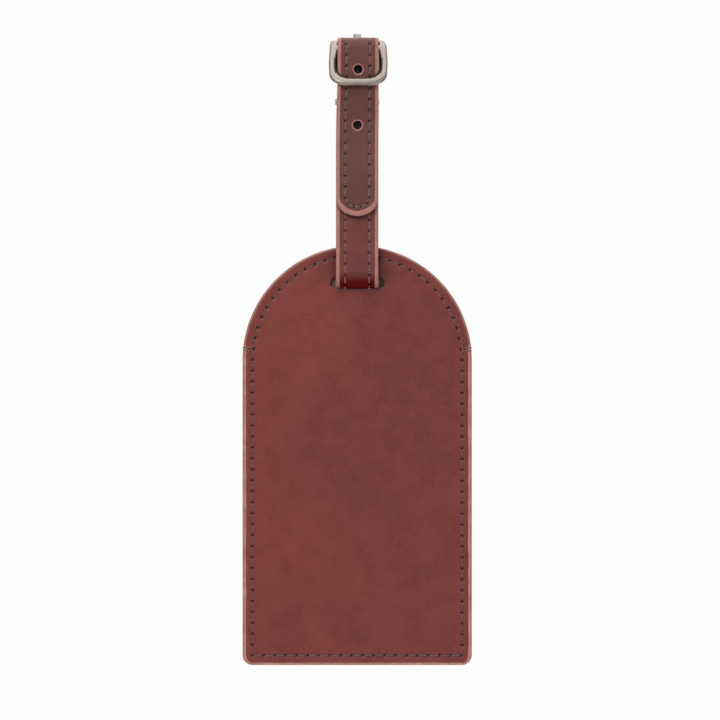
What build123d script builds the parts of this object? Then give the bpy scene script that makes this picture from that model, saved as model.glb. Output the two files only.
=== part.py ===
from build123d import *
import os
from math import atan2, cos, degrees, hypot, radians, sin, tan

# Luggage tag: a stitched leather body with a rear card pocket, hung from a stitched strap that
# passes through the body's slot and closes in a small heel-bar buckle.
# The tag hangs upright: X to the right, Y to the rear, Z up, millimetres.
# The origin is the middle of the strap's loop, where a bag handle passes through along X.

# ---- body ----
body_w = 65.0
body_h = 119.0
apex_z = -23.4
corner_r = 2.8
least_corner_r = 0.3
front_t = 1.2
board_t = 0.6
back_t = 1.0
board_inset = 0.4
front_edge_r = 0.8
slot_w = 15.1
slot_h = 3.3
slot_drop = 10.7  # slot centre below the top of the arch
board_slot_w = 12.1  # the board closes in on the strap and shows at the ends of the leather's slot
board_slot_r = 0.6

# ---- rear pocket ----
mouth_drop = 28.4  # pocket mouth below the top of the arch
pocket_t = 1.0
pocket_rise = 0.8  # how far the pocket's middle stands off the back panel
rim_w = 4.2  # flat sewn rim round the pocket
thumb_r = 9.0
window_w = 44.0
window_h = 64.0
window_r = 4.0
pane_t = 0.25
pane_margin = 4.0
card_w = 54.0
card_h = 85.6
card_t = 0.35
card_gap = 0.1
card_corner_r = 3.0

# ---- stitching ----
thread_r = 0.24
stitch_pitch = 3.1
stitch_l = 2.2
body_seam_inset = 2.75
window_seam_gap = 2.0
strap_seam_inset = 2.6
tack_t = 0.25  # how far a wrapped thread stands proud
tack_w = 0.5
tack_pitch = 0.85

# ---- strap ----
strap_w = 12.0
ply_t = 0.9
glue_t = 0.04
lining_gap = 0.1  # between the lining's end and the turned-back end
bend_r = 4.1  # mid-surface radius where the strap turns through the slot
bend_lift = 3.65  # bend centre above the slot centre
fold_top_z = 35.5
fold_r = 1.8  # mid-surface radius of the fold over the buckle
front_leg_y = -bend_r
tail_l = 50.6
tail_tip_l = 5.2
tail_gap = 0.15
prong_gap = 1.8  # room for the prong between the front leg and the tail
crank_angle = 20.0
crank_z = 11.6
hole_r = 1.25
hole_drops = (9.1, 24.8)  # the two free holes below the fold
hole_spacing = 15.7
rear_angle = 18.0  # how far the rear leg leans back as it leaves the slot
rear_l = 30.0
rear_r = 45.0
turn_back_l = 19.0  # strap end folded round the heel bar and sewn down
tack_drop = 17.8

# ---- buckle ----
pin_r = 0.65
pin_fit = 0.07
heel_y = -0.3
heel_z = 34.1
frame_w = 16.5
frame_bar_w = 1.7
frame_t = 1.7
frame_corner_r = 3.8
frame_side_r = 20.0
frame_waist = 0.45  # where the frame's sides turn in, as a share of its length
front_bar_y = -10.25
front_bar_z = 22.8
lug_top = 1.3
lug_gap = 0.2
pin_inset = 0.7
prong_ring_r = 2.8
prong_ring_w = 2.2
prong_t = 1.1
prong_w = 1.3
prong_l = 10.6
prong_fit = 0.05
prong_tip_r = 0.3
ring_gap = 0.3  # strap clear of the prong's ring, each side
ring_slot_h = 10.0

# ---- worked out ----
arch_r = body_w / 2
arch_z = apex_z - arch_r
bottom_z = apex_z - body_h
slot_z = apex_z - slot_drop
mouth_z = apex_z - mouth_drop
body_t = front_t + board_t + back_t
front_y = -body_t / 2
back_y = body_t / 2
board_y = front_y + front_t
bend_z = slot_z + bend_lift
strap_t = 2 * ply_t
tail_y = front_leg_y - strap_t - tail_gap
raised_y = front_leg_y - strap_t - prong_gap
fold_z = fold_top_z - fold_r - ply_t
tip_z = fold_top_z - tail_l
crank_r = (tail_y - raised_y) / (2 * (1 - cos(radians(crank_angle))))
third_hole_z = fold_z - (hole_spacing - (fold_z - fold_top_z + hole_drops[0]) - fold_r * radians(180))
clear = 0.05
cut_reach = 2 * body_h

# the rear leg leans back, bows, and leans forward again to the heel bar
bow_y = bend_r * cos(radians(rear_angle)) + rear_l * sin(radians(rear_angle))
bow_z = bend_z - bend_r * sin(radians(rear_angle)) + rear_l * cos(radians(rear_angle))
top_angle = degrees(atan2(bow_y - heel_y, heel_z - bow_z))
bow_trim = rear_r * tan(radians((rear_angle + top_angle) / 2))
top_l = hypot(bow_y - heel_y, heel_z - bow_z) - bow_trim

# the turned-back ply closes round the heel bar like a teardrop
wrap_r = pin_r + pin_fit + ply_t / 2
wrap_angle = 7.0
wrap_ease_r = 12.0
wrap_shift = wrap_r * cos(radians(wrap_angle)) - wrap_ease_r * (1 - cos(radians(wrap_angle)))
wrap_l = (wrap_shift - ply_t / 2) / sin(radians(wrap_angle))
fall_l = (wrap_shift - ply_t / 2 - glue_t) / sin(radians(wrap_angle))
wrap_drop = (
    wrap_ease_r * sin(radians(wrap_angle))
    + wrap_l * cos(radians(wrap_angle))
    + wrap_r * sin(radians(wrap_angle))
)

# the frame lies in a plane through the heel bar that leans forward over the tail
frame_lean = degrees(atan2(heel_y - front_bar_y, heel_z - front_bar_z))
frame_l = hypot(heel_y - front_bar_y, heel_z - front_bar_z)
lean_y = -sin(radians(frame_lean))
lean_z = -cos(radians(frame_lean))
frame_plane = Plane(origin=(0, heel_y, heel_z), x_dir=(1, 0, 0), z_dir=(0, lean_z, -lean_y))

frame_half = frame_w / 2
frame_mid = frame_half - frame_bar_w / 2
lug_mid = strap_w / 2 + lug_gap + frame_bar_w / 2
pin_half = frame_half - pin_inset

# the prong drops from its ring, slopes forward through the front leg and hangs down its face
shank_y = front_leg_y - strap_t / 2 - prong_gap / 2
shank_slope = 0.33
neck_z = third_hole_z + shank_slope * (heel_y - front_leg_y)

os.makedirs("parts", exist_ok=True)


def body_face(inset=0.0, top_z=None):
    """The body's arched outline, drawn in the current sketch, cut straight across at top_z."""
    straight_h = arch_z - bottom_z - inset
    with Locations((0, arch_z)):
        Circle(arch_r - inset)
    with Locations((0, arch_z - straight_h / 2)):
        Rectangle(body_w - 2 * inset, straight_h)
    lower_corners = vertices().group_by(Axis.Y)[0]
    fillet(lower_corners, radius=max(corner_r - inset, least_corner_r))
    if top_z is not None:
        with Locations((0, top_z)):
            Rectangle(cut_reach, cut_reach, align=(Align.CENTER, Align.MIN), mode=Mode.SUBTRACT)


def strap_slot():
    """The slot that the strap passes through, cut from the current sketch."""
    with Locations((0, slot_z)):
        SlotOverall(slot_w, slot_h, mode=Mode.SUBTRACT)


def strap_run(side, upper_l, foot_z=tip_z):
    """The strap's line from its tip to the rear leg's upper end, side mm towards its outer face."""
    tail = Line((tail_y + side, foot_z), (tail_y + side, crank_z))
    out = JernArc(tail @ 1, tail % 1, crank_r + side, crank_angle)
    back = JernArc(out @ 1, out % 1, crank_r - side, -crank_angle)
    raised = Line(back @ 1, (raised_y + side, fold_z))
    fold = JernArc(raised @ 1, raised % 1, fold_r - side, -180)
    front_leg = Line(fold @ 1, (front_leg_y - side, bend_z))
    bend = JernArc(front_leg @ 1, front_leg % 1, bend_r + side, 180 - rear_angle)
    lower = Line(bend @ 1, bend @ 1 + (bend % 1) * (rear_l - bow_trim))
    bow = JernArc(lower @ 1, lower % 1, rear_r + side, rear_angle + top_angle)
    return Line(bow @ 1, bow @ 1 + (bow % 1) * upper_l)


def strap_cuts(low_y, high_y):
    """Rounds the tail's tip and punches its holes, between two depths."""
    with BuildSketch(Plane.XZ.offset(-high_y)) as punched:
        with Locations((0, tip_z)):
            Rectangle(strap_w + strap_t, 2 * tail_tip_l)
        with Locations((0, tip_z + tail_tip_l)):
            Ellipse(strap_w / 2, tail_tip_l, mode=Mode.SUBTRACT)
        with Locations(*[(0, fold_top_z - drop) for drop in hole_drops]):
            Circle(hole_r)
    extrude(punched.sketch, amount=high_y - low_y, mode=Mode.SUBTRACT)


def prong_hole():
    """The hole in the front leg that the prong passes through."""
    with BuildSketch(Plane.XZ.offset(-front_leg_y)) as punched:
        with Locations((0, third_hole_z)):
            Circle(hole_r)
    extrude(punched.sketch, amount=ply_t + clear, both=True, mode=Mode.SUBTRACT)


def stitches(seam):
    """A stitch at every pitch along a seam, half sunk in the surface."""
    count = round(seam.length / stitch_pitch)
    with Locations(*seam.locations([(i + 0.5) / count for i in range(count)])):
        Cylinder(thread_r, stitch_l)


# ---- strap: outer ply, one piece from the tail's tip to the end turned round the heel bar ----
with BuildPart() as strap_outer_ply:
    with BuildSketch(Plane.YZ):
        with BuildLine():
            rear_leg = strap_run(ply_t / 2, top_l - wrap_drop)
            ease = JernArc(rear_leg @ 1, rear_leg % 1, wrap_ease_r, -wrap_angle)
            rise = Line(ease @ 1, ease @ 1 + (ease % 1) * wrap_l)
            wrap = JernArc(rise @ 1, rise % 1, wrap_r, 180 + 2 * wrap_angle)
            fall = Line(wrap @ 1, wrap @ 1 + (wrap % 1) * fall_l)
            settle = JernArc(fall @ 1, fall % 1, wrap_ease_r, -wrap_angle)
            Line(settle @ 1, settle @ 1 + (settle % 1) * (turn_back_l - wrap_drop))
        trace(line_width=ply_t)
    extrude(amount=strap_w / 2, both=True)
    strap_cuts(raised_y - strap_t, front_leg_y - ply_t - clear)
    prong_hole()
    with BuildSketch(Plane.YZ):
        with Locations((heel_y, heel_z)):
            Rectangle(2 * (prong_ring_r + ring_gap), ring_slot_h)
    extrude(amount=prong_ring_w / 2 + ring_gap, both=True, mode=Mode.SUBTRACT)
strap_outer_ply.part.label = "strap_outer_ply"
export_step(strap_outer_ply.part, "parts/strap_outer_ply.step")

# ---- strap: lining ply, which stops where the turned-back end begins ----
with BuildPart() as strap_lining_ply:
    with BuildSketch(Plane.YZ):
        with BuildLine():
            strap_run(-ply_t / 2, top_l - turn_back_l - lining_gap)
        trace(line_width=ply_t)
    extrude(amount=strap_w / 2, both=True)
    strap_cuts(raised_y - strap_t, front_leg_y - ply_t - clear)
    prong_hole()
strap_lining_ply.part.label = "strap_lining_ply"
export_step(strap_lining_ply.part, "parts/strap_lining_ply.step")

# ---- strap: two rows of stitches on both faces, joined round the tail's tip ----
seam_x = strap_w / 2 - strap_seam_inset
with BuildPart() as strap_stitching:
    for face in (ply_t, -ply_t):
        for x in (-seam_x, seam_x):
            with BuildLine(Plane.YZ.offset(x)) as row:
                strap_run(face, top_l - wrap_drop - stitch_pitch, tip_z + tail_tip_l)
            stitches(row.wire())
        with BuildLine(Plane.XZ.offset(-tail_y - face)) as tip_row:
            ThreePointArc(
                (-seam_x, tip_z + tail_tip_l),
                (0, tip_z + strap_seam_inset),
                (seam_x, tip_z + tail_tip_l),
            )
        stitches(tip_row.wire())
strap_stitching.part.label = "strap_stitching"
export_step(strap_stitching.part, "parts/strap_stitching.step")

# ---- strap: thread tacks that hold the turned-back end, wrapped over both edges ----
tack_l = (heel_z - fold_top_z + tack_drop) / cos(radians(top_angle))
leg_y = sin(radians(top_angle))
leg_z = -cos(radians(top_angle))
with BuildPart() as strap_tack:
    for turn in (-tack_pitch / 2, tack_pitch / 2):
        along = tack_l + turn
        turn_plane = Plane(
            origin=(0, heel_y + along * leg_y, heel_z + along * leg_z),
            x_dir=(1, 0, 0),
            z_dir=(0, leg_y, leg_z),
        )
        with BuildSketch(turn_plane):
            Rectangle(strap_w + 2 * tack_t, strap_t + glue_t + 2 * tack_t)
            Rectangle(strap_w, strap_t + glue_t, mode=Mode.SUBTRACT)
            Rectangle(2 * seam_x, 2 * strap_t, mode=Mode.SUBTRACT)
        extrude(amount=tack_w / 2, both=True)
strap_tack.part.label = "strap_tack"
export_step(strap_tack.part, "parts/strap_tack.step")

# ---- body: front panel, stiffener and back panel, all with the strap's slot ----
with BuildPart() as front_panel:
    with BuildSketch(Plane.XZ.offset(-board_y)):
        body_face()
        strap_slot()
    extrude(amount=front_t)
    front_rim = front_panel.faces().sort_by(Axis.Y)[0].outer_wire().edges()
    fillet(front_rim, radius=front_edge_r)
front_panel.part.label = "front_panel"
export_step(front_panel.part, "parts/front_panel.step")

with BuildPart() as stiffener_board:
    with BuildSketch(Plane.XZ.offset(-board_y - board_t)):
        body_face(board_inset)
        with Locations((0, slot_z)):
            RectangleRounded(board_slot_w, slot_h, board_slot_r, mode=Mode.SUBTRACT)
    extrude(amount=board_t)
stiffener_board.part.label = "stiffener_board"
export_step(stiffener_board.part, "parts/stiffener_board.step")

with BuildPart() as back_panel:
    with BuildSketch(Plane.XZ.offset(-back_y)):
        body_face()
        strap_slot()
    extrude(amount=back_t)
back_panel.part.label = "back_panel"
export_step(back_panel.part, "parts/back_panel.step")

# ---- rear pocket: a panel pressed out over the card, with a window and a thumb notch ----
rim_back_y = back_y + pocket_t
raised_back_y = rim_back_y + pocket_rise
raised_inset = rim_w - pocket_rise
raised_chamfer = 0.75 * pocket_rise
cavity_w = body_w - 2 * rim_w
cavity_bottom_z = bottom_z + rim_w
window_z = (mouth_z + cavity_bottom_z) / 2 - thumb_r / 2
with BuildPart() as pocket_panel:
    with BuildSketch(Plane.XZ.offset(-rim_back_y)):
        body_face(top_z=mouth_z)
    extrude(amount=pocket_t)
    with BuildSketch(Plane.XZ.offset(-rim_back_y)):
        with Locations((0, bottom_z + raised_inset)):
            Rectangle(
                body_w - 2 * raised_inset,
                mouth_z - bottom_z - raised_inset,
                align=(Align.CENTER, Align.MIN),
            )
        fillet(vertices().group_by(Axis.Y)[0], radius=corner_r)
    extrude(amount=-pocket_rise)
    raised_rim = pocket_panel.faces().sort_by(Axis.Y)[-1].edges().group_by(Axis.Z)
    chamfer([edge for group in raised_rim[:-1] for edge in group], length=raised_chamfer)
    with BuildSketch(Plane.XZ.offset(-back_y)):
        with Locations((0, cavity_bottom_z)):
            Rectangle(cavity_w, cut_reach, align=(Align.CENTER, Align.MIN))
    extrude(amount=-pocket_rise, mode=Mode.SUBTRACT)
    with BuildSketch(Plane.XZ.offset(-raised_back_y)):
        with Locations((0, window_z)):
            RectangleRounded(window_w, window_h, window_r)
        with Locations((0, mouth_z)):
            Circle(thumb_r)
    extrude(amount=2 * pocket_t + pocket_rise, mode=Mode.SUBTRACT)
pocket_panel.part.label = "pocket_panel"
export_step(pocket_panel.part, "parts/pocket_panel.step")

with BuildPart() as window_pane:
    with BuildSketch(Plane.XZ.offset(-back_y - pocket_rise)):
        with Locations((0, window_z)):
            RectangleRounded(window_w + 2 * pane_margin, window_h + 2 * pane_margin, window_r)
    extrude(amount=pane_t)
window_pane.part.label = "window_pane"
export_step(window_pane.part, "parts/window_pane.step")

with BuildPart() as address_card:
    with BuildSketch(Plane.XZ.offset(-back_y - card_gap - card_t)):
        with Locations((0, cavity_bottom_z + card_gap + card_h / 2)):
            RectangleRounded(card_w, card_h, card_corner_r)
    extrude(amount=card_t)
address_card.part.label = "address_card"
export_step(address_card.part, "parts/address_card.step")

# ---- body seam: stitches round the front, round the pocket's rim and, drawn down flush so that
# the card slides over them, round the arch behind ----
with BuildSketch(Plane.XZ.offset(-front_y)) as seam_face:
    body_face(body_seam_inset)
body_seam = seam_face.sketch.face().outer_wire()
body_count = round(body_seam.length / stitch_pitch)
body_places = body_seam.locations([(i + 0.5) / body_count for i in range(body_count)])
on_pocket = [place for place in body_places if place.position.Z < mouth_z]
on_arch = [place for place in body_places if place.position.Z >= mouth_z]
with BuildPart() as body_stitching:
    for face_y, places in (
        (front_y, body_places),
        (rim_back_y, on_pocket),
        (back_y - thread_r, on_arch),
    ):
        with Locations((0, face_y - front_y, 0)):
            with Locations(*places):
                Cylinder(thread_r, stitch_l)
body_stitching.part.label = "body_stitching"
export_step(body_stitching.part, "parts/body_stitching.step")

# ---- window seam: stitches that hold the pane, drawn down flush with the pocket's face ----
with BuildPart() as window_stitching:
    with BuildSketch(Plane.XZ.offset(thread_r - raised_back_y), mode=Mode.PRIVATE) as window_seam:
        with Locations((0, window_z)):
            RectangleRounded(window_w + 2 * window_seam_gap, window_h + 2 * window_seam_gap, window_r)
    stitches(window_seam.sketch.face().outer_wire())
window_stitching.part.label = "window_stitching"
export_step(window_stitching.part, "parts/window_stitching.step")

# ---- pocket tacks: threads wrapped over the body's edge at each end of the pocket mouth ----
edge_x = arch_r * cos(atan2(mouth_z - arch_z, arch_r))
with BuildPart() as pocket_tacks:
    for drop in (tack_w, tack_w + tack_pitch):
        with BuildSketch(Plane.XY.offset(mouth_z - drop)):
            with Locations((0, (front_y + rim_back_y) / 2)):
                Rectangle(2 * edge_x + 2 * tack_t, rim_back_y - front_y + 2 * tack_t)
                Rectangle(2 * edge_x, rim_back_y - front_y, mode=Mode.SUBTRACT)
                Rectangle(2 * edge_x - 2 * body_seam_inset, body_w, mode=Mode.SUBTRACT)
        extrude(amount=tack_w / 2, both=True)
pocket_tacks.part.label = "pocket_tacks"
export_step(pocket_tacks.part, "parts/pocket_tacks.step")

# ---- buckle: frame, heel bar and prong ----
with BuildPart() as buckle_frame:
    with BuildLine(frame_plane) as frame_line:
        FilletPolyline(
            (-lug_mid, lug_top),
            (-frame_mid, -frame_waist * frame_l),
            (-frame_mid, -frame_l),
            (frame_mid, -frame_l),
            (frame_mid, -frame_waist * frame_l),
            (lug_mid, lug_top),
            radius=[frame_side_r, frame_corner_r, frame_corner_r, frame_side_r],
        )
    frame_path = frame_line.wire()
    with BuildSketch(Plane(frame_path @ 0, x_dir=frame_plane.z_dir, z_dir=frame_path % 0)):
        Ellipse(frame_t / 2, frame_bar_w / 2)
    sweep(path=frame_path)
    with BuildSketch(Plane.YZ):
        with Locations((heel_y, heel_z)):
            Circle(pin_r)
    extrude(amount=pin_half, both=True, mode=Mode.SUBTRACT)
buckle_frame.part.label = "buckle_frame"
export_step(buckle_frame.part, "parts/buckle_frame.step")

with BuildPart() as heel_bar:
    with BuildSketch(Plane.YZ):
        with Locations((heel_y, heel_z)):
            Circle(pin_r)
    extrude(amount=pin_half, both=True)
heel_bar.part.label = "heel_bar"
export_step(heel_bar.part, "parts/heel_bar.step")

with BuildPart() as prong:
    with BuildSketch(Plane.YZ):
        with Locations((heel_y, heel_z)):
            Circle(prong_ring_r)
            Circle(pin_r + prong_fit, mode=Mode.SUBTRACT)
    extrude(amount=prong_ring_w / 2, both=True)
    with BuildSketch(Plane.YZ):
        with BuildLine():
            FilletPolyline(
                (heel_y, heel_z - prong_ring_r / 2),
                (heel_y, neck_z),
                (shank_y, third_hole_z - shank_slope * (front_leg_y - shank_y)),
                (shank_y, heel_z - prong_l),
                radius=prong_t,
            )
        trace(line_width=prong_t)
    extrude(amount=prong_w / 2, both=True)
    tip_edges = prong.faces().sort_by(Axis.Z)[0].edges()
    fillet(tip_edges, radius=prong_tip_r)
prong.part.label = "prong"
export_step(prong.part, "parts/prong.step")
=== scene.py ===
from math import atan2, cos, degrees, hypot, pi, radians, sin, tan

import bmesh
import bpy
import numpy as np
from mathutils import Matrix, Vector


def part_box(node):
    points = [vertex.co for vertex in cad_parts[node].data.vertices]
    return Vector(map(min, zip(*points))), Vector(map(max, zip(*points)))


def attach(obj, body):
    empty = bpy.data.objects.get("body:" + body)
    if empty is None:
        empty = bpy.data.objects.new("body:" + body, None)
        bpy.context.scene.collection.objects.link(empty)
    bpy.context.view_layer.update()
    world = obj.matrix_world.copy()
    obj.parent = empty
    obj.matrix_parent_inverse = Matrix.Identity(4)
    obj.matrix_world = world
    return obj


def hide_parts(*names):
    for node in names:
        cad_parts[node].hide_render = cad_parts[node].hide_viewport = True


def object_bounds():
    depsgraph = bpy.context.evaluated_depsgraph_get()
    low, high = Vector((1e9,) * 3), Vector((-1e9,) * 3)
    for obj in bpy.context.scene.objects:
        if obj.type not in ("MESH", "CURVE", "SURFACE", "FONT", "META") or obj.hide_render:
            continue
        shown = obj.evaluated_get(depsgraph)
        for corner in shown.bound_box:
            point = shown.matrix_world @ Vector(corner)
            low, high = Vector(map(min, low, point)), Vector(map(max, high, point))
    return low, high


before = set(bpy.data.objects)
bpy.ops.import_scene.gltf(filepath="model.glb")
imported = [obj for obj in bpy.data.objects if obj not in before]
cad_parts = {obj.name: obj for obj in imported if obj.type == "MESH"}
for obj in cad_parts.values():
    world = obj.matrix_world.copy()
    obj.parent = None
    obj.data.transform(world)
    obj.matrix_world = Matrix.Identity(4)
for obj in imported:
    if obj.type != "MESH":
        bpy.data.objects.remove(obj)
cad_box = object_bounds()

# Lengths below are in millimetres; MM turns them into Blender's metres.
MM = 0.001
rng = np.random.default_rng(7)


def box_mm(node):
    """The lowest and highest corner of a CAD node, in millimetres."""
    low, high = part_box(node)
    return np.array(low) / MM, np.array(high) / MM


# ---- sizes read from the frame ----
front_low, front_high = box_mm("front_panel")
back_low, back_high = box_mm("back_panel")
_, pocket_high = box_mm("pocket_panel")
pane_low, pane_high = box_mm("window_pane")
_, strap_high = box_mm("strap_outer_ply")
heel_low, heel_high = box_mm("heel_bar")
_, buckle_high = box_mm("buckle_frame")

BODY_HALF = front_high[0]
APEX_Z = front_high[2]
BOTTOM_Z = front_low[2]
FRONT_Y = front_low[1]
FRONT_INNER_Y = front_high[1]
BACK_Y = back_high[1]
BACK_INNER_Y = back_low[1]
MOUTH_Z = pocket_high[2]
RAISED_Y = pocket_high[1]
ARCH_Z = APEX_Z - BODY_HALF
STRAP_HALF = strap_high[0]
SETTLED = 0.28  # how far the fold has settled on to the buckle
FOLD_TOP_Z = strap_high[2] - SETTLED
HEEL_Y, HEEL_Z = ((heel_low + heel_high) / 2)[1:]

# ---- the design's other sizes ----
CORNER_R = 2.8
SLOT_HALF = 15.1 / 2
SLOT_R = 3.3 / 2
SLOT_Z = APEX_Z - 10.7
LIP_R = 5.12  # radius about the strap's turn to which the front's lower slot lip is worn
LIP_CORNER = 0.3  # how much higher that lip stands below the strap's rolled edges
BEND_SWELL = 0.08  # how far the strap's outer ply bulges where it turns in the slot
SWAY = 0.30  # how far the strap leans to one side by its fold
PULLED_IN = 0.03  # share by which the strap narrows where it passes the buckle
POCKET_T = 1.0
POCKET_RISE = 0.8
RIM_W = 4.2
THUMB_R = 9.0
NOTCH_EASE = 2.6  # how soon the rows round the thumb notch close up
WINDOW_HALF_W = 22.0
WINDOW_HALF_H = 32.0
WINDOW_R = 4.0
WINDOW_Z = (pane_low[2] + pane_high[2]) / 2
SEAM_INSET = 2.75
WINDOW_SEAM_GAP = 2.0
STRAP_SEAM_INSET = 2.6
STITCH_PITCH = 3.1
TIP_PITCH = 2.1  # between the stitches round the strap's tip
THREAD_R = 0.17
TACK_R = 0.18
STITCH_SINK = 0.1  # how much deeper the strap's stitches lie where it turns in the slot

PLY_T = 0.9
GLUE_T = 0.04
BEND_R = 4.1
BEND_Z = SLOT_Z + 3.65
FRONT_LEG_Y = -BEND_R
FOLD_R = 1.8
FOLD_Z = FOLD_TOP_Z - FOLD_R - PLY_T
TAIL_Y = FRONT_LEG_Y - 2 * PLY_T - 0.15
RAISED_TAIL_Y = FRONT_LEG_Y - 2 * FOLD_R
TAIL_TIP_Z = FOLD_TOP_Z - 50.6
TIP_L = 5.2
CRANK_Z = 11.6
CRANK_ANGLE = 20.0
CRANK_R = (TAIL_Y - RAISED_TAIL_Y) / (2 * (1 - cos(radians(CRANK_ANGLE))))
HOLE_R = 1.25
HOLE_DROPS = (24.8, 9.1)
HOLE_SPACING = 15.7
REAR_ANGLE = 18.0
REAR_L = 30.0
REAR_R = 45.0
TURN_BACK_L = 19.0
TACK_DROP = 17.8
TACK_PITCH = 0.85
PIN_R = 0.65
PIN_FIT = 0.07
PRONG_RING_W = 2.2
RING_SLOT_HALF = 5.4  # half the length of the strap's slot for the prong's ring
WRAP_ANGLE = 7.0
WRAP_EASE_R = 12.0

FRONT_BAR_Y = -10.25
FRONT_BAR_Z = 22.5
FRAME_T = 1.7
FRAME_HALF = buckle_high[0]

RULE_PITCH = 9.5  # between the card's printed rules
RULE_HALF = 20.0
CAMERA_AWAY = 1.6  # metres in front of the tag
CAMERA_X = 0.0008  # metres
VIEW_ROOM = 1.14  # height of the view as a share of the tag's
VIEW_MIDDLE = 0.5106  # how far its middle lies below the strap's top, as such a share


# ---- mesh helpers ----
def placed(name, data, place=(0, 0, 0)):
    """A new object in the scene."""
    holder = bpy.data.objects.new(name, data)
    holder.location = place
    bpy.context.scene.collection.objects.link(holder)
    return holder


def build(name, points, faces, body, slot, nodes, material, **weights):
    """A smooth piece from points in millimetres; each weight has its values at the points, loop by loop."""
    mesh = bpy.data.meshes.new(name)
    mesh.from_pydata((np.asarray(points) * MM).tolist(), [], faces)
    for key, values in weights.items():
        kept = mesh.attributes.new(key, "FLOAT", "POINT")
        kept.data.foreach_set("value", np.concatenate(values).astype(float))
    work = bmesh.new()
    work.from_mesh(mesh)
    bmesh.ops.remove_doubles(work, verts=work.verts, dist=2e-7)
    bmesh.ops.recalc_face_normals(work, faces=work.faces)
    work.to_mesh(mesh)
    work.free()
    mesh.shade_smooth()
    mesh.materials.append(material)
    piece = placed(name, mesh)
    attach(piece, body)
    if nodes:
        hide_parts(*nodes)


def ring_faces(count, n, closed=True, skip=None):
    """Quads between successive loops of n points; closed joins the last loop to the first."""
    faces = []
    for k in range(count if closed else count - 1):
        low, high = k * n, (k + 1) % count * n
        for i in range(n):
            j = (i + 1) % n
            if skip is None or not skip(k, i):
                faces.append((low + i, low + j, high + j, high + i))
    return faces


def smooth_step(x):
    """0 below 0, 1 above 1 and a smooth rise between."""
    x = np.clip(x, 0, 1)
    return x * x * (3 - 2 * x)


def lengths(points):
    """Distance along a run of points, from its first."""
    steps = np.linalg.norm(np.diff(points, axis=0), axis=1)
    return np.concatenate([[0], np.cumsum(steps)])


def joined(*parts):
    """Runs of two coordinates, end to end, as one set of flat points."""
    return np.stack([np.concatenate(axis) for axis in zip(*parts)], axis=1)


def upright(flat, level):
    """Flat body points stood up at a depth."""
    return np.stack([flat[:, 0], np.broadcast_to(level, len(flat)), flat[:, 1]], axis=1)


def close(points):
    """The points with the first repeated at the end."""
    return np.vstack([points, points[:1]])


def along(points, at):
    """Places at given distances along a run of points."""
    run = lengths(points)
    return np.stack([np.interp(at, run, points[:, c]) for c in range(points.shape[1])], axis=1)


def nearest(points, marks):
    """Distance from each point to the nearest mark, in the plane."""
    best = np.full(len(points), 1e9)
    for mark in marks:
        best = np.minimum(best, np.hypot(points[:, 0] - mark[0], points[:, 1] - mark[1]))
    return best


def ripple(a, b, size, seed):
    """A gentle repeatable unevenness from -1 to 1 over a surface, with waves about size across."""
    waves = np.random.default_rng(seed)
    total = np.zeros_like(a)
    for _ in range(7):
        angle, phase, stretch = waves.uniform(0, 2 * pi, 3)
        pitch = size * (0.7 + 0.1 * stretch)
        total += np.sin((a * cos(angle) + b * sin(angle)) * 2 * pi / pitch + phase)
    return total / 7


# ---- outlines ----
STEP = 0.25  # spacing of the points round the body


def foot_parts(inset, count):
    """The outline's rounded foot at an inset, from left to right, and the height of its corners."""
    corner = max(CORNER_R, inset)
    small = max(CORNER_R - inset, 0)
    turn = np.linspace(0, pi / 2, 14, endpoint=False)
    across = np.linspace(-1, 1, count, endpoint=False)
    foot_x, foot_z = BODY_HALF - corner, BOTTOM_Z + corner
    parts = [
        (-foot_x - small * np.cos(turn), foot_z - small * np.sin(turn)),
        (foot_x * across, np.full_like(across, foot_z - small)),
        (foot_x + small * np.sin(turn), foot_z - small * np.cos(turn)),
    ]
    return parts, foot_z


def body_outline(inset):
    """The arched body's outline at an inset, from the arch's right end over the top and round."""
    r = BODY_HALF - inset
    sweep = np.linspace(0, pi, int(pi * BODY_HALF / STEP), endpoint=False)
    drop = np.linspace(0, 1, int((ARCH_Z - BOTTOM_Z - CORNER_R) / STEP), endpoint=False)
    foot, foot_z = foot_parts(inset, int(2 * (BODY_HALF - CORNER_R) / STEP))
    return joined(
        (r * np.cos(sweep), ARCH_Z + r * np.sin(sweep)),
        (np.full_like(drop, -r), ARCH_Z + (foot_z - ARCH_Z) * drop),
        *foot,
        (np.full_like(drop, r), foot_z + (ARCH_Z - foot_z) * drop),
    )


def slot_outline(directions):
    """Where rays from the slot's centre meet its rim."""
    half = SLOT_HALF - SLOT_R
    points = []
    for dx, dz in directions:
        reach = SLOT_R / max(abs(dz), 1e-9)
        if abs(dx) * reach > half:
            beside = abs(dx) * half
            reach = beside + max(beside**2 - half * half + SLOT_R * SLOT_R, 0) ** 0.5
        points.append((dx * reach, dz * reach))
    return np.array(points) + (0, SLOT_Z)


def body_depth_to_edge(points):
    """How far points of the body's face lie from its side, foot and arch."""
    x, z = points[:, 0], points[:, 1]
    straight = np.minimum(BODY_HALF - np.abs(x), z - BOTTOM_Z)
    arch = BODY_HALF - np.hypot(x, z - ARCH_Z)
    return np.where(z > ARCH_Z, arch, straight)


def seam_marks(outline, pitch=STITCH_PITCH):
    """Needle holes at even steps round a closed outline."""
    loop = close(outline)
    total = lengths(loop)[-1]
    count = round(total / pitch)
    return along(loop, np.arange(count) * total / count)


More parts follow.
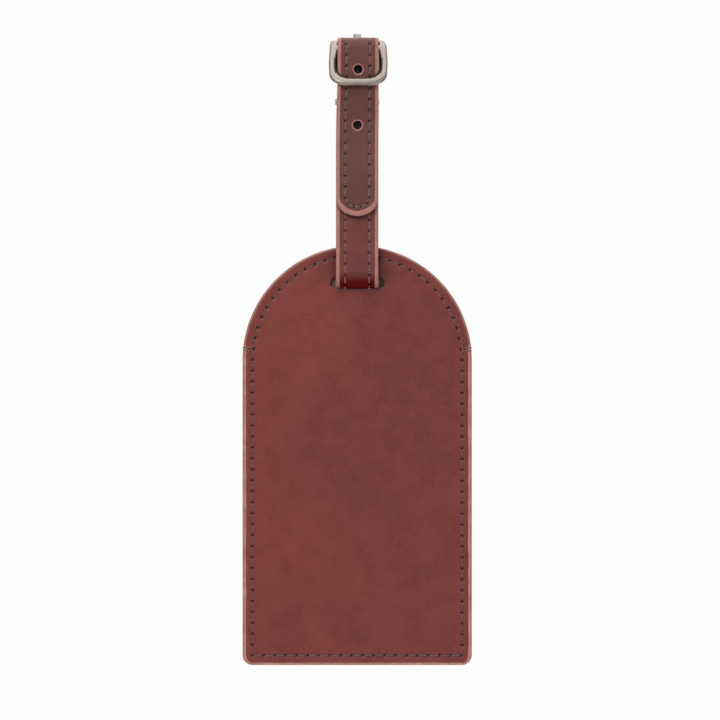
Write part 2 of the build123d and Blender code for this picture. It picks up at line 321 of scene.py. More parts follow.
# ---- thread ----
def thread_mesh(runs, radius, sides=8):
    """Points and faces of round threads along runs of points, each tapering into its needle holes."""
    points, faces, base = [], [], 0
    turn = np.linspace(0, 2 * pi, sides, endpoint=False)[None, :, None]
    for run in map(np.asarray, runs):
        tangent = np.gradient(run, axis=0)
        tangent /= np.linalg.norm(tangent, axis=1)[:, None]
        side = np.cross(tangent, (0.31, -0.62, 0.72))
        side /= np.linalg.norm(side, axis=1)[:, None]
        up = np.cross(side, tangent)
        r = radius * (1 - 0.45 * np.abs(np.linspace(-1, 1, len(run))) ** 5)
        ring = np.cos(turn) * side[:, None, :] + np.sin(turn) * up[:, None, :]
        points.append((run[:, None, :] + ring * r[:, None, None]).reshape(-1, 3))
        faces += [tuple(base + i for i in face) for face in ring_faces(len(run), sides, closed=False)]
        faces.append(tuple(base + i for i in range(sides))[::-1])
        base += len(run) * sides
        faces.append(tuple(range(base - sides, base)))
    return np.vstack(points), faces


def stitch_run(start, end, place, slant=0.1, lift=0.02, sink=0.4):
    """One stitch between two needle holes; place turns flat coordinates and a height into a point."""
    start, end = np.asarray(start, float), np.asarray(end, float)
    way = end - start
    span = hypot(*way)
    normal = np.array([-way[1], way[0]]) / span
    t = np.linspace(-1, 1, 11)
    lean = slant * (1 + rng.uniform(-0.4, 0.4))
    middle = (start + end) / 2
    flat = middle + t[:, None] * way / 2 * 0.86 + (lean * t)[:, None] * normal
    height = lift + rng.uniform(-0.08, 0.02) - (lift + sink) * np.abs(t) ** 5
    return place(flat, height)


# ---- the strap's line ----
class Ply:
    """One ply of the strap: its middle line in the Y-Z plane, as distance, place and heading."""

    def __init__(self, start, moves, swells=False):
        s, y, z, heading = [0.0], [start[0]], [start[1]], [pi / 2]
        for length, turn in moves:
            s0, y0, z0, h0 = s[-1], y[-1], z[-1], heading[-1]
            steps = max(int(length / 0.1), 2)
            for part in np.linspace(0, 1, steps + 1)[1:]:
                angle = radians(turn) * part
                if turn:
                    r = length / radians(turn)
                    y.append(y0 + r * (sin(h0 + angle) - sin(h0)))
                    z.append(z0 - r * (cos(h0 + angle) - cos(h0)))
                else:
                    y.append(y0 + length * part * cos(h0))
                    z.append(z0 + length * part * sin(h0))
                s.append(s0 + length * part)
                heading.append(h0 + angle)
        self.s, self.y, self.z, self.heading = map(np.array, (s, y, z, heading))
        self.length = self.s[-1]
        self.swells = swells
        self.bend_s = self.s[np.argmin(self.z)]

    def place(self, s, x, height):
        """Points at a distance along, across, and a height towards the strap's outer side."""
        y, z, heading = (np.interp(s, self.s, v) for v in (self.y, self.z, self.heading))
        x = x * (1 - PULLED_IN * smooth_step((z - 12) / 12)) + SWAY * smooth_step((z - 2) / 30)
        height = height + BEND_SWELL * self.turning(s) * (height > 0)
        x = x * (1 + 0.006 * self.turning(s))
        return np.stack([x + 0 * y, y + np.sin(heading) * height, z - np.cos(heading) * height], axis=1)

    def turning(self, s):
        """How fully the outer ply is in its turn through the slot at each distance along."""
        return self.swells * np.exp(-(((s - self.bend_s) / 4.5) ** 4))

    def reach(self, z, rising=True):
        """The distance along at which the line first passes a height, going up or coming down."""
        step = np.diff(self.z)
        for i in np.nonzero(step > 0 if rising else step < 0)[0]:
            if min(self.z[i], self.z[i + 1]) <= z <= max(self.z[i], self.z[i + 1]):
                return float(self.s[i])
        return 0.0


def strap_moves(side, upper_l):
    """The strap's runs (length, turn in degrees) from its tip, for a line side mm towards its outer face."""
    raised_z = CRANK_Z + 2 * CRANK_R * sin(radians(CRANK_ANGLE))
    crank = radians(CRANK_ANGLE)
    bend_turn = 180 - REAR_ANGLE
    bow_turn = REAR_ANGLE + TOP_ANGLE
    return [
        (CRANK_Z - TAIL_TIP_Z, 0),
        (crank * (CRANK_R + side), CRANK_ANGLE),
        (crank * (CRANK_R - side), -CRANK_ANGLE),
        (FOLD_Z - raised_z, 0),
        (pi * (FOLD_R - side), -180),
        (FOLD_Z - BEND_Z, 0),
        (radians(bend_turn) * (BEND_R + side), bend_turn),
        (REAR_L - BOW_TRIM, 0),
        (radians(bow_turn) * (REAR_R + side), bow_turn),
        (upper_l, 0),
    ]


BOW_Y = BEND_R * cos(radians(REAR_ANGLE)) + REAR_L * sin(radians(REAR_ANGLE))
BOW_Z = BEND_Z - BEND_R * sin(radians(REAR_ANGLE)) + REAR_L * cos(radians(REAR_ANGLE))
TOP_ANGLE = degrees(atan2(BOW_Y - HEEL_Y, HEEL_Z - BOW_Z))
BOW_TRIM = REAR_R * tan(radians((REAR_ANGLE + TOP_ANGLE) / 2))
TOP_L = hypot(BOW_Y - HEEL_Y, HEEL_Z - BOW_Z) - BOW_TRIM
WRAP_R = PIN_R + PIN_FIT + PLY_T / 2
WRAP_SHIFT = WRAP_R * cos(radians(WRAP_ANGLE)) - WRAP_EASE_R * (1 - cos(radians(WRAP_ANGLE)))
WRAP_L = (WRAP_SHIFT - PLY_T / 2) / sin(radians(WRAP_ANGLE))
FALL_L = (WRAP_SHIFT - PLY_T / 2 - GLUE_T) / sin(radians(WRAP_ANGLE))
WRAP_DROP = (WRAP_EASE_R + WRAP_R) * sin(radians(WRAP_ANGLE)) + WRAP_L * cos(radians(WRAP_ANGLE))


def outer_ply():
    """The outer ply's middle line, which ends turned round the heel bar."""
    moves = strap_moves(PLY_T / 2, TOP_L - WRAP_DROP)
    ease = radians(WRAP_ANGLE) * WRAP_EASE_R
    turn = 180 + 2 * WRAP_ANGLE
    moves += [(ease, -WRAP_ANGLE), (WRAP_L, 0), (radians(turn) * WRAP_R, turn), (FALL_L, 0)]
    moves += [(ease, -WRAP_ANGLE), (TURN_BACK_L - WRAP_DROP, 0)]
    return Ply((TAIL_Y + PLY_T / 2, TAIL_TIP_Z), moves, swells=True)


def lining_ply():
    """The lining ply's middle line, which stops where the outer ply's turned-back end begins."""
    return Ply((TAIL_Y - PLY_T / 2, TAIL_TIP_Z), strap_moves(-PLY_T / 2, TOP_L - TURN_BACK_L - 0.1))


# ---- materials ----
def tone(code):
    """A linear colour from a display colour written in hex."""
    parts = [int(code[i : i + 2], 16) / 255 for i in (0, 2, 4)]
    return [p / 12.92 if p < 0.04045 else ((p + 0.055) / 1.055) ** 2.4 for p in parts] + [1.0]


class Nodes:
    """A node tree with short ways to add what the finishes and the studio share."""

    def __init__(self, tree):
        self.tree = tree
        self.tree.nodes.clear()

    def add(self, kind, **settings):
        node = self.tree.nodes.new(kind)
        for key, value in settings.items():
            setattr(node, key, value)
        return node

    def feed(self, target, value):
        """Links a socket, or sets a constant or a tone."""
        if isinstance(value, bpy.types.NodeSocket):
            self.tree.links.new(value, target)
        else:
            target.default_value = tone(value) if isinstance(value, str) else value

    def fed(self, kind, inputs, **settings):
        """A node with its sockets linked or set."""
        node = self.add(kind, **settings)
        for socket, value in inputs.items():
            self.feed(node.inputs[socket], value)
        return node

    def sum(self, first, second, operation="ADD"):
        return self.fed("ShaderNodeMath", {0: first, 1: second}, operation=operation).outputs[0]

    def split(self, vector):
        """A vector's X, Y and Z."""
        return self.fed("ShaderNodeSeparateXYZ", {0: vector}).outputs

    def spread(self, value, low, high, to_low=0.0, to_high=1.0):
        """A value between two limits, moved to lie between two others."""
        limits = {"From Min": low, "From Max": high, "To Min": to_low, "To Max": to_high}
        return self.fed("ShaderNodeMapRange", {"Value": value, **limits}).outputs[0]


class Paint(Nodes):
    """A material's nodes, which end in one shader."""

    def __init__(self, name):
        self.material = bpy.data.materials.new(name)
        self.material.use_nodes = True
        super().__init__(self.material.node_tree)
        self.shader = self.add("ShaderNodeBsdfPrincipled")
        self.fed("ShaderNodeOutputMaterial", {"Surface": self.shader.outputs[0]})
        self.where = self.add("ShaderNodeTexCoord").outputs["Object"]

    def stretched(self, scale):
        """Object coordinates scaled by a different amount along each axis."""
        return self.fed("ShaderNodeMapping", {"Vector": self.where, "Scale": scale}).outputs[0]

    def noise(self, scale, detail=3.0, rough=0.5, where=None, distortion=0.0):
        look = {"Scale": scale, "Detail": detail, "Roughness": rough, "Distortion": distortion}
        return self.fed("ShaderNodeTexNoise", {"Vector": where or self.where, **look}).outputs["Fac"]

    def cells(self, scale, where):
        return self.fed("ShaderNodeTexVoronoi", {"Vector": where, "Scale": scale}).outputs["Distance"]

    def ramp(self, value, stops):
        """Tones or greys at places along a 0 to 1 value."""
        node = self.fed("ShaderNodeValToRGB", {"Fac": value})
        ramp = node.color_ramp
        while len(ramp.elements) < len(stops):
            ramp.elements.new(0.5)
        for element, (place, shade) in zip(ramp.elements, stops):
            element.position = place
            element.color = tone(shade) if isinstance(shade, str) else [shade] * 3 + [1]
        return node.outputs["Color"]

    def mix(self, factor, first, second, blend="MIX"):
        inputs = {"Factor": factor, 6: first, 7: second}
        return self.fed("ShaderNodeMix", inputs, data_type="RGBA", blend_type=blend).outputs[2]

    def kept(self, name):
        """A value kept at the mesh's points."""
        return self.add("ShaderNodeAttribute", attribute_name=name).outputs["Fac"]

    def bump(self, height, distance, strength=1.0, over=None):
        inputs = {"Height": height, "Distance": distance * MM, "Strength": strength}
        if over:
            inputs["Normal"] = over
        return self.fed("ShaderNodeBump", inputs).outputs["Normal"]

    def finish(self, colour, rough, normal=None, **sockets):
        sockets |= {"Base Color": colour, "Roughness": rough}
        if normal:
            sockets["Normal"] = normal
        for key, value in sockets.items():
            self.feed(self.shader.inputs[key.replace("_", " ")], value)
        return self.material


def leather(name, dark, base, light, warm, gloss, seed=0.0):
    """Pull-up leather: clouded colour, light streaks, fine grain, short creases and painted edges, with
    painted shade from kept weights: in needle holes, by the strap and where it turns.
    """
    p = Paint(name)
    moved = (seed, seed * 1.7, seed * 0.6)
    where = p.fed("ShaderNodeMapping", {"Vector": p.where, "Location": moved}).outputs[0]

    clouds = p.noise(30, 3, 0.55, where, 0.6)
    mottle = p.noise(210, 5, 0.66, where, 0.3)
    broad = p.noise(14, 2, 0.5, where)
    streaks = p.noise(1, 2, 0.5, p.stretched((420, 420, 26)))
    pores = p.cells(1500, where)
    colour = p.ramp(clouds, [(0.30, dark), (0.50, base), (0.68, light)])
    layers = (
        (broad, (0.50, 0.0), (0.68, 0.55), warm, "MIX"),
        (mottle, (0.38, 0.0), (0.68, 0.55), light, "MIX"),
        (mottle, (0.30, 0.55), (0.46, 0.0), dark, "MIX"),
        (streaks, (0.52, 0.0), (0.78, 0.16), light, "MIX"),
        (pores, (0.0, 0.22), (0.35, 0.0), dark, "MULTIPLY"),
    )
    for value, low, high, shade, blend in layers:
        colour = p.mix(p.ramp(value, [low, high]), colour, shade, blend)

    paint_grain = p.ramp(p.noise(900, 3, 0.6, where), [(0.3, 0.0), (0.7, 1.0)])
    paint = p.mix(paint_grain, "B37F72", "A06C60")
    border = p.sum(p.kept("edge"), p.sum(p.sum(mottle, -0.5), 0.5, "MULTIPLY"))
    border = p.ramp(border, [(0.42, 0.0), (0.58, 1.0)])
    colour = p.mix(border, colour, paint)
    # Painted shade: deep red where the strap turns in the slot, with less shine there.
    colour = p.mix(p.kept("deep"), colour, "5E1513")
    # Painted shade: near black in needle holes, beside and under the strap and below the tail's tip.
    colour = p.mix(p.kept("dark"), colour, "1A0402")

    creases = p.noise(1, 4, 0.65, p.stretched((120, 120, 1500)), 1.2)
    soft = p.bump(p.noise(260, 4, 0.6, where), 0.10, 0.35)
    soft = p.bump(p.ramp(creases, [(0.44, 0.0), (0.5, 1.0), (0.56, 0.0)]), 0.035, 0.30, soft)
    soft = p.bump(p.cells(2300, where), 0.05, 0.45, soft)
    normal = p.bump(p.noise(5200, 2, 0.6, where), 0.02, 0.35, soft)

    rough = p.ramp(p.sum(mottle, border), [(0.25, gloss - 0.05), (0.8, gloss + 0.12)])
    sheen = p.sum(1.0, p.kept("deep"), "SUBTRACT")
    p.feed(p.shader.inputs["Specular IOR Level"], p.sum(sheen, 0.36, "MULTIPLY"))
    p.feed(p.shader.inputs["Coat Weight"], p.sum(sheen, 0.08, "MULTIPLY"))
    return p.finish(colour, rough, normal, Coat_Roughness=0.32)


def edge_paint():
    """Thick painted edge: matt tan with a slight roll and small rubbed spots."""
    p = Paint("edge_paint")
    blotch = p.noise(420, 4, 0.6)
    long_marks = p.noise(60, 3, 0.6)
    colour = p.ramp(blotch, [(0.30, "9B675B"), (0.52, "B38073"), (0.72, "C29183")])
    colour = p.mix(p.ramp(long_marks, [(0.45, 0.0), (0.7, 0.5)]), colour, "A5705F")
    colour = p.mix(p.kept("dark"), colour, "7A5145")
    normal = p.bump(p.noise(1600, 3, 0.6), 0.06, 0.5, p.bump(p.noise(300, 2), 0.15, 0.5))
    return p.finish(colour, p.ramp(blotch, [(0.3, 0.42), (0.7, 0.58)]), normal, Specular_IOR_Level=0.35)


def thread_finish(name, base, light):
    """Waxed polyester thread: plies that wind round, with a low sheen."""
    p = Paint(name)
    inputs = {"Vector": p.where, "Scale": 620, "Distortion": 1.0}
    wound = p.fed("ShaderNodeTexWave", inputs, wave_type="BANDS", bands_direction="DIAGONAL").outputs["Fac"]
    fuzz = p.noise(3500, 2)
    colour = p.mix(wound, base, light)
    colour = p.mix(p.ramp(fuzz, [(0.3, 0.35), (0.6, 0.0)]), colour, "3A1E1B")
    normal = p.bump(fuzz, 0.03, 0.4, p.bump(wound, 0.08, 0.7))
    return p.finish(colour, p.ramp(fuzz, [(0.3, 0.5), (0.7, 0.7)]), normal, Sheen_Weight=0.25)


def nickel(name, tones, shade_below_z=None):
    """Satin nickel: cast, tumbled and plated, with faint brushing; painted shade where the dark weight is
    kept, and below a height, if given.
    """
    p = Paint(name)
    cast = p.noise(420, 4, 0.55)
    brushed = p.noise(1, 3, 0.6, p.stretched((300, 3200, 3200)))
    colour = p.ramp(cast, list(zip((0.3, 0.55, 0.75), tones)))
    # Painted shade: near black where the kept dark weight says, on the frame's inner flanks.
    colour = p.mix(p.kept("dark"), colour, "241B18")
    if shade_below_z is not None:
        # Painted shade: darker below a height, where the prong lies in the strap's hole.
        below = p.spread(p.split(p.where)["Z"], (shade_below_z + 0.8) * MM, shade_below_z * MM)
        colour = p.mix(below, colour, p.ramp(cast, [(0.3, "23262A"), (0.7, "3A3E43")]))
    rough = p.ramp(p.sum(cast, p.sum(brushed, 0.4, "MULTIPLY")), [(0.45, 0.34), (0.9, 0.46)])
    normal = p.bump(brushed, 0.012, 0.35, p.bump(p.noise(700, 3), 0.04, 0.3))
    return p.finish(colour, rough, normal, Metallic=0.8)


def card_stock():
    """Cream writing card with printed ruled lines and a faint paper tooth."""
    p = Paint("card_stock")
    place = p.split(p.where)
    row = p.sum(p.sum(place["Z"], 1 / (RULE_PITCH * MM), "MULTIPLY"), 1.0, "FRACT")
    line = p.ramp(p.sum(p.sum(row, -0.5), 0, "ABSOLUTE"), [(0.0, 1.0), (0.018, 1.0), (0.03, 0.0)])
    aside = p.sum(p.sum(place["X"], 1 / (RULE_HALF * MM), "MULTIPLY"), 0, "ABSOLUTE")
    ruled = p.mix(1.0, line, p.ramp(aside, [(0.96, 1.0), (0.98, 0.0)]), "MULTIPLY")
    tooth = p.noise(2600, 4, 0.65)
    colour = p.ramp(tooth, [(0.3, "E9E0CE"), (0.7, "F4ECDD")])
    colour = p.mix(ruled, colour, "8E857C")
    return p.finish(colour, p.ramp(tooth, [(0.3, 0.72), (0.7, 0.85)]), p.bump(tooth, 0.04, 0.4))


def board():
    """Grey fibre board, seen only at the slot's ends."""
    p = Paint("fibre_board")
    fibres = p.noise(1, 4, 0.7, p.stretched((900, 900, 300)))
    colour = p.ramp(fibres, [(0.3, "5F4E3E"), (0.7, "7E6852")])
    return p.finish(colour, p.ramp(fibres, [(0.3, 0.8), (0.7, 0.95)]), p.bump(fibres, 0.06, 0.5))


def clear_film():
    """The clear window: a supple film with slight waves and hairline scuffs."""
    p = Paint("clear_film")
    scuffs = p.noise(1, 4, 0.7, p.stretched((1400, 900, 90)))
    rough = p.ramp(scuffs, [(0.5, 0.05), (0.8, 0.22)])
    normal = p.bump(p.noise(45, 2), 0.25, 0.25)
    return p.finish([0.97, 0.98, 0.98, 1.0], rough, normal, Transmission_Weight=1.0, IOR=1.2)


FRONT_LEATHER = leather("body_leather", "6C2E29", "75322D", "803A34", "823A2C", 0.42)
BACK_LEATHER = leather("rear_leather", "6C302B", "77352F", "823D36", "833B2E", 0.44, seed=3.1)
STRAP_LEATHER = leather("strap_leather", "612D27", "6A332C", "743B34", "74372B", 0.48, seed=5.7)
LINING_LEATHER = leather("strap_lining", "57302A", "60362F", "693E36", "673A30", 0.50, seed=8.3)
EDGE_PAINT = edge_paint()
THREAD = thread_finish("thread", "6F4A3F", "96705F")
BODY_THREAD = thread_finish("body_thread", "6B3C35", "86574C")
NICKEL = nickel("satin_nickel", ("968A83", "A19690", "ABA19A"))


# ---- body panels ----
# Profiles of rolled edges are pairs: a distance in from the edge, and a drop or a share of the thickness.
EDGE_PROFILE = ((0.0, 1.0), (0.03, 0.62), (0.10, 0.40), (0.22, 0.22), (0.42, 0.09), (0.7, 0.02), (1.0, 0.0))
SEAM_OFFSETS = (-0.75, -0.5, -0.34, -0.22, -0.12, -0.05, 0.0, 0.05, 0.12, 0.22, 0.34, 0.5, 0.8, 1.3, 2.2)
SLOT_ROLL = ((0.30, 0.02), (0.16, 0.07), (0.06, 0.16), (0.0, 0.34))
SHOULDER_W = 0.34  # where the slot's rolled edge begins
EDGE_W = 0.5  # how far paint laps on to a face
HOLE_SPREAD = 0.42
HOLE_DEPTH = 0.46
GROOVE_DEPTH = 0.08


def needle_marks(points, marks):
    """How strongly a needle hole shows at each point: 1 at its middle."""
    return np.exp(-((nearest(points, marks) / HOLE_SPREAD) ** 2))


def hole_core(hole):
    """A needle hole's strength sharpened into a core of painted shade with a soft rim."""
    return smooth_step((hole - 0.12) / 0.45)


def shade_by_strap(flat):
    """Painted shadow of the strap on the front face, beside it and below the slot, strongest against it."""
    x, z = np.abs(flat[:, 0]), flat[:, 1]
    beside = np.exp(-np.maximum(x - STRAP_HALF, 0) / 2.6) * smooth_step((z - SLOT_Z + 1.5) / 3)
    below = np.exp(-np.maximum(SLOT_Z - SLOT_R - z, 0) / 0.9) * smooth_step((SLOT_HALF - x) / 2)
    return np.maximum(0.9 * beside, below * (z < SLOT_Z))


def panel_face(points, marks, seam, seed, wave=0.05):
    """How far a face's leather lies below its plane, from its seam, needle holes and unevenness."""
    x, z = points[:, 0], points[:, 1]
    dip = GROOVE_DEPTH * np.exp(-((seam / 0.42) ** 2))
    hole = needle_marks(points, marks)
    uneven = wave * (ripple(x, z, 26, seed) + 0.4 * ripple(x, z, 8, seed + 1))
    return dip + HOLE_DEPTH * hole + np.maximum(wave + uneven, 0), hole


def worn_lip(rim, y):
    """How far the front's lower slot lip rises at a depth, worn to the strap's turn and its rolled edges."""
    rise = BEND_Z - SLOT_Z + SLOT_R - (LIP_R**2 - y**2) ** 0.5
    corner = LIP_CORNER * np.exp(-(((np.abs(rim[:, 0]) - STRAP_HALF) / 0.22) ** 2))
    return (rise + corner) * smooth_step((SLOT_Z - rim[:, 1]) / SLOT_R)


def arched_panel(name, face_y, inner_y, slot, node, material, seed, marks):
    """A body panel: rolled rim, sewn border, and a gently uneven face down to the strap's slot."""
    out = 1 if face_y > inner_y else -1
    thick = abs(face_y - inner_y)
    rows = [(body_outline(inset), thick * share) for inset, share in EDGE_PROFILE]
    rows += [(body_outline(SEAM_INSET + offset), 0.0) for offset in SEAM_OFFSETS]
    border = rows[-1][0]
    ways = border - (0, SLOT_Z)
    rim = slot_outline(ways / np.linalg.norm(ways, axis=1)[:, None])
    straight = SLOT_HALF - SLOT_R
    away = rim - joined((np.clip(rim[:, 0], -straight, straight), np.full(len(rim), SLOT_Z)))
    away /= np.linalg.norm(away, axis=1)[:, None]
    shoulder = rim + away * SHOULDER_W
    shares = 1 - (1 - np.linspace(0, 1, 40)[1:-1]) ** 1.6
    rows += [(border + (shoulder - border) * share, 0.0) for share in shares]
    for grow, drop in (*SLOT_ROLL, (0.0, thick)):
        flat = rim + away * grow
        if out < 0:
            flat[:, 1] += worn_lip(rim, face_y + drop)
        rows.append((flat, drop))

    loops, dark, edge = [], [], []
    for flat, drop in rows:
        depth = body_depth_to_edge(flat)
        dip, hole = panel_face(flat, marks, depth - SEAM_INSET, seed)
        from_slot = np.hypot(np.maximum(np.abs(flat[:, 0]) - straight, 0), flat[:, 1] - SLOT_Z) - SLOT_R
        fade = smooth_step(depth / 1.2) * smooth_step(from_slot / 2)
        loops.append(upright(flat, face_y - out * np.minimum(drop + dip * fade, thick)))
        # Painted shade in the needle holes.
        holes = hole_core(hole) * (fade > 0)
        # On the front face, also the painted shadow of the strap beside and below it.
        dark.append(np.maximum(holes, 0.5 * shade_by_strap(flat)) if out < 0 else holes)
        edge.append(np.where(depth < EDGE_W, 0.8, 0.0))
    loops.append(upright(body_outline(0), inner_y))
    dark.append(np.zeros(len(border)))
    edge.append(np.ones(len(border)))
    faces = ring_faces(len(loops), len(border))
    build(name, np.vstack(loops), faces, "tag", slot, (node,), material, dark=dark, edge=edge)


BODY_MARKS = seam_marks(body_outline(SEAM_INSET))
ARCH_MARKS = BODY_MARKS[BODY_MARKS[:, 1] > MOUTH_Z + 1]
RIM_MARKS = BODY_MARKS[BODY_MARKS[:, 1] < MOUTH_Z]
panels = (
    ("front_leather", FRONT_Y, FRONT_INNER_Y, "tag_leather", "front_panel", FRONT_LEATHER, 11, BODY_MARKS),
    ("rear_leather", BACK_Y, BACK_INNER_Y, "back_leather", "back_panel", BACK_LEATHER, 21, ARCH_MARKS),
)
for panel in panels:
    arched_panel(*panel)


# ---- rear pocket ----
# Rows round the window: how far out from its edge, and how far the leather has dropped.
WINDOW_ROWS = [(grow, 0.0) for grow in (3.0, 2.7, 2.45, 2.25, 2.12, 2.0, 1.88, 1.75, 1.55, 1.3, 0.8)]
WINDOW_ROWS += [(0.45, 0.01), (0.22, 0.06), (0.08, 0.16), (0.0, 0.34), (0.0, POCKET_T)]


def pocket_outline(inset):
    """The pocket's outline at an inset, and how many points it has by the end of each part."""
    r = BODY_HALF - inset
    top = MOUTH_Z - inset
    foot, foot_z = foot_parts(inset, 210)
    notch = THUMB_R + NOTCH_EASE * (1 - np.exp(-inset / NOTCH_EASE))
    down = np.linspace(0, 1, 300, endpoint=False)
    mouth = np.linspace(0, 1, 70, endpoint=False)
    notch_start = np.arcsin(min(inset / notch, 1))
    dip = notch_start + (pi - 2 * notch_start) * np.linspace(0, 1, 90, endpoint=False)
    notch_x = notch * cos(notch_start)

    def side(z):
        return np.sqrt(np.maximum(r * r - np.clip(z - ARCH_Z, 0, None) ** 2, 0))

    falling = top + (foot_z - top) * down
    rising = foot_z + (top - foot_z) * down
    corner_x = float(side(top))
    parts = [
        (-side(falling), falling),
        *foot,
        (side(rising), rising),
        (corner_x + (notch_x - corner_x) * mouth, np.full_like(mouth, top)),
        (notch * np.cos(dip), MOUTH_Z - notch * np.sin(dip)),
        (-notch_x + (notch_x - corner_x) * mouth, np.full_like(mouth, top)),
    ]
    return joined(*parts), np.cumsum([len(x) for x, _ in parts])


def window_outline(grow):
    """The window's rounded outline grown outwards, from its upper left corner, down and round."""
    w, h, r = WINDOW_HALF_W + grow, WINDOW_HALF_H + grow, WINDOW_R + grow
    turn = np.linspace(0, pi / 2, 13)
    corners = [
        (-w + r, h - r, pi / 2 + turn),
        (-w + r, -h + r, pi + turn),
        (w - r, -h + r, 1.5 * pi + turn),
        (w - r, h - r, turn),
    ]
    points = [(cx + r * cos(a), cz + r * sin(a)) for cx, cz, angles in corners for a in angles]
    half = len(turn) // 2
    points = points[half:] + points[: half + 1]
    return np.array(points) + (0, WINDOW_Z)


def matched_window(grow, counts, outline):
    """Window points that face the pocket outline's points, corner to corner."""
    loop = window_outline(grow)
    run = lengths(loop)
    quarter = (len(loop) - 1) // 4
    anchors = [run[0], run[quarter], run[2 * quarter], run[3 * quarter], run[-1]]
    outer = lengths(close(outline))
    marks = [0, (counts[0] + counts[1]) // 2, (counts[2] + counts[3]) // 2, counts[4], len(outline)]
    places = np.interp(outer[:-1], outer[marks], anchors)
    return along(loop, places)


def pocket_level(flat):
    """The pocket's outer face: flat on its sewn rim and pressed out over the card."""
    straight = np.minimum(BODY_HALF - np.abs(flat[:, 0]), flat[:, 1] - BOTTOM_Z)
    return RAISED_Y - POCKET_RISE + POCKET_RISE * smooth_step((straight - RIM_W + 1.3) / 1.6)


def pocket():
    """The pocket's leather with its window opening; returns the window seam's needle holes."""
    base, counts = pocket_outline(0)
    rows = [(pocket_outline(inset)[0], POCKET_T * 0.9 * share) for inset, share in EDGE_PROFILE]
    rows += [(pocket_outline(SEAM_INSET + offset)[0], 0.0) for offset in SEAM_OFFSETS]
    sewn_rim = rows[-1][0]
    near = matched_window(3.4, counts, sewn_rim)
    rows += [(sewn_rim + (near - sewn_rim) * share, 0.0) for share in np.linspace(0, 1, 9)[1:]]
    back = [rows[-2][0]] + [pocket_outline(inset)[0] for inset in (5.6, 4.2, 2.9, 0)]
    rows += [(matched_window(grow, counts, base), drop) for grow, drop in WINDOW_ROWS]
    window_seam = matched_window(WINDOW_SEAM_GAP, counts, base)
    window_marks = seam_marks(window_outline(WINDOW_SEAM_GAP)[:-1])
    marks = np.vstack([RIM_MARKS, window_marks])

    loops, dark, edge = [], [], []
    for flat, drop in rows:
        depth = body_depth_to_edge(flat)
        mouth_gap = MOUTH_Z - flat[:, 1]
        on_rim = (mouth_gap > 0.4) & (np.abs(depth - SEAM_INSET) < 1.2)
        seam = np.where(on_rim, np.abs(depth - SEAM_INSET), 9.0)
        seam = np.minimum(seam, nearest(flat, window_seam[::3]))
        dip, hole = panel_face(flat, marks, seam, 31, wave=0.04)
        notch_gap = np.hypot(flat[:, 0], flat[:, 1] - MOUTH_Z) - THUMB_R
        edge_gap = np.minimum(np.minimum(depth, mouth_gap), notch_gap)
        lost = np.minimum(drop + dip * smooth_step(edge_gap), POCKET_T)
        loops.append(upright(flat, pocket_level(flat) - lost))
        # Painted shade in the rim's and window seam's needle holes.
        dark.append(0.85 * hole)
        edge.append(np.where(edge_gap < EDGE_W, 0.8, 0.0))
    for flat in back:
        loops.append(upright(flat, pocket_level(flat) - POCKET_T))
        dark.append(np.zeros(len(flat)))
        edge.append(np.zeros(len(flat)))
    faces = ring_faces(len(loops), len(base))
    look = ("tag", "back_leather", ("pocket_panel",), BACK_LEATHER)
    build("pocket_leather", np.vstack(loops), faces, *look, dark=dark, edge=edge)
    return window_marks


WINDOW_MARKS = pocket()


# ---- stitches on the body ----
def face_place(level, out):
    """Turns flat body coordinates and a height above a face into points."""
    return lambda flat, height: upright(flat, level(flat) + out * height)


def sewn(name, runs, body, node, material, radius=THREAD_R):
    """Stitches as one piece."""
    build(name, *thread_mesh(runs, radius), body, "thread", (node,), material)


def row_of_stitches(marks, place, keep=None, closed=True, **look):
    """A stitch between each pair of needle holes in turn."""
    runs = []
    for i in range(len(marks) if closed else len(marks) - 1):
        start, end = marks[i], marks[(i + 1) % len(marks)]
        if keep is None or keep((start + end) / 2):
            runs.append(stitch_run(start, end, place, **look))
    return runs


def body_seams():
    """The seam on the front, on the rear's rim and round its arch, with doubled stitches at the mouth."""
    front = face_place(lambda flat: np.full(len(flat), FRONT_Y), -1)
    rim = face_place(pocket_level, 1)
    arch = face_place(lambda flat: np.full(len(flat), BACK_Y), 1)
    half = STITCH_PITCH / 2
    runs = row_of_stitches(BODY_MARKS, front)
    runs += row_of_stitches(BODY_MARKS, rim, keep=lambda m: m[1] < MOUTH_Z - half)
    runs += row_of_stitches(BODY_MARKS, arch, keep=lambda m: m[1] > MOUTH_Z + half, lift=-0.2, sink=0.4)
    by_mouth = np.abs(BODY_MARKS[:, 1] - MOUTH_Z) < 2.2 * STITCH_PITCH
    for side in (-1, 1):
        near = BODY_MARKS[by_mouth & (BODY_MARKS[:, 0] * side > 0)]
        near = near[np.argsort(near[:, 1])] + (0.22 * side, STITCH_PITCH * 0.42)
        runs += row_of_stitches(near, front, closed=False, lift=0.12)
    sewn("body_stitching_thread", runs, "tag", "body_stitching", BODY_THREAD)


def window_seam():
    """The seam that holds the window, drawn down level with the pocket's face."""
    runs = row_of_stitches(WINDOW_MARKS, face_place(pocket_level, 1), lift=-0.17, sink=0.3)
    sewn("window_stitching_thread", runs, "tag", "window_stitching", THREAD)


def wrapped_threads(name, edge, low, high, places, reach, body, node):
    """Threads wrapped over both edges of a piece, from needle holes in one face to those in the other."""
    hole_x, halfway = edge - reach, edge - reach / 2
    side_line = [(hole_x, 0.3), (hole_x, -0.04), (halfway, -0.14), (edge - 0.3, -0.12), (edge + 0.12, 0.35)]
    line = [(x, low + h) for x, h in side_line] + [(edge + 0.14, (low + high) / 2)]
    line = np.array(line + [(x, high - h) for x, h in side_line[::-1]])
    run = along(line, np.linspace(0, lengths(line)[-1], 34))
    slant = np.linspace(-0.12, 0.12, len(run))
    runs = [place(run[:, 0] * side, run[:, 1], slant * side) for place in places for side in (-1, 1)]
    sewn(name, runs, body, node, THREAD, TACK_R)


